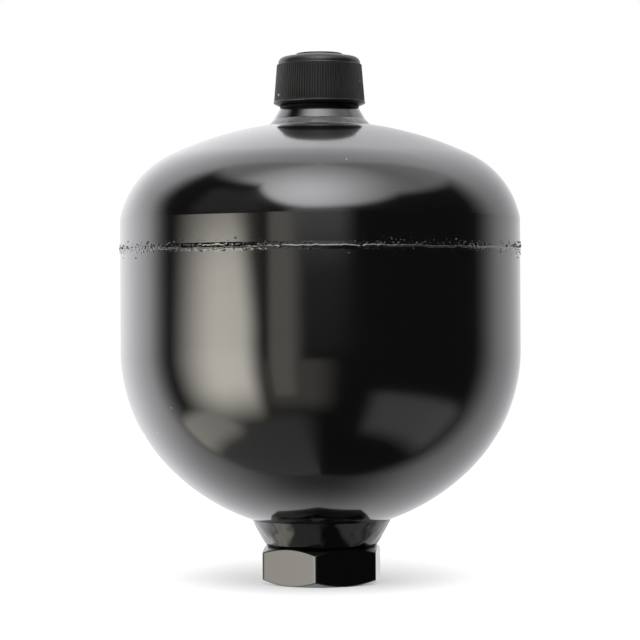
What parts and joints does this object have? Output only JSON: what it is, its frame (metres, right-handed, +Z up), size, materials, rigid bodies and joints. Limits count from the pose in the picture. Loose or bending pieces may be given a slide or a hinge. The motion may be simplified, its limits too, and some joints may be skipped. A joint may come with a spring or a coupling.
{
  "type": "welded diaphragm accumulator",
  "caption": "Black welded steel diaphragm accumulator, 1.4 litres, with a hexagon oil port at the bottom and a ribbed plastic cap over the gas boss.",
  "frame": {"origin": "centre of the oil port's sealing face, on the vessel's axis, at the lowest point", "axes": "+Z up the vessel's axis, from the oil port to the gas cap; X and Y lie in the port's face"},
  "size_m": [0.1458, 0.1458, 0.1921],
  "materials": {
    "black_paint": "gloss",
    "black_plastic": "satin",
    "nitrile_rubber": "matte",
    "bare_steel": "satin",
    "plated_steel": "satin"
  },
  "bodies": {
    "vessel": {"lower_shell": "black_paint", "upper_shell": "black_paint", "girth_weld": "black_paint", "fluid_port": "black_paint", "port_weld": "black_paint", "gas_boss": "black_paint", "boss_weld": "black_paint", "clamp_ring": "bare_steel", "diaphragm": "nitrile_rubber"},
    "closing_button": {"closing_button": "bare_steel"},
    "screw_seal": {"screw_seal": "nitrile_rubber"},
    "charging_screw": {"charging_screw": "plated_steel"},
    "cap_seal": {"cap_seal": "nitrile_rubber"},
    "protective_cap": {"protective_cap": "black_plastic"}
  },
  "joints": [
    {"name": "button_travel", "type": "slide", "parent": "vessel", "child": "closing_button", "axis": [0, 0, 1], "range_m": [0, 0.115], "stiffness_N_per_m": 20, "deforming": ["diaphragm"]},
    {"name": "screw_lift", "type": "slide", "parent": "vessel", "child": "screw_seal", "axis": [0, 0, 1], "range_m": [0, 0.00125]},
    {"name": "screw_turn", "type": "hinge", "parent": "screw_seal", "child": "charging_screw", "pos_m": [0, 0, 0.18], "axis": [0, 0, 1], "range_deg": [0, 360]},
    {"name": "cap_lift", "type": "slide", "parent": "vessel", "child": "cap_seal", "axis": [0, 0, 1], "range_m": [0, 0.015]},
    {"name": "cap_turn", "type": "hinge", "parent": "cap_seal", "child": "protective_cap", "pos_m": [0, 0, 0.18], "axis": [0, 0, 1], "range_deg": [0, 3600]}
  ],
  "couplings": [
    {"joint": "screw_lift", "follows": "screw_turn", "m_per_rad": 0.00019894},
    {"joint": "cap_lift", "follows": "cap_turn", "m_per_rad": 0.00023873}
  ]
}
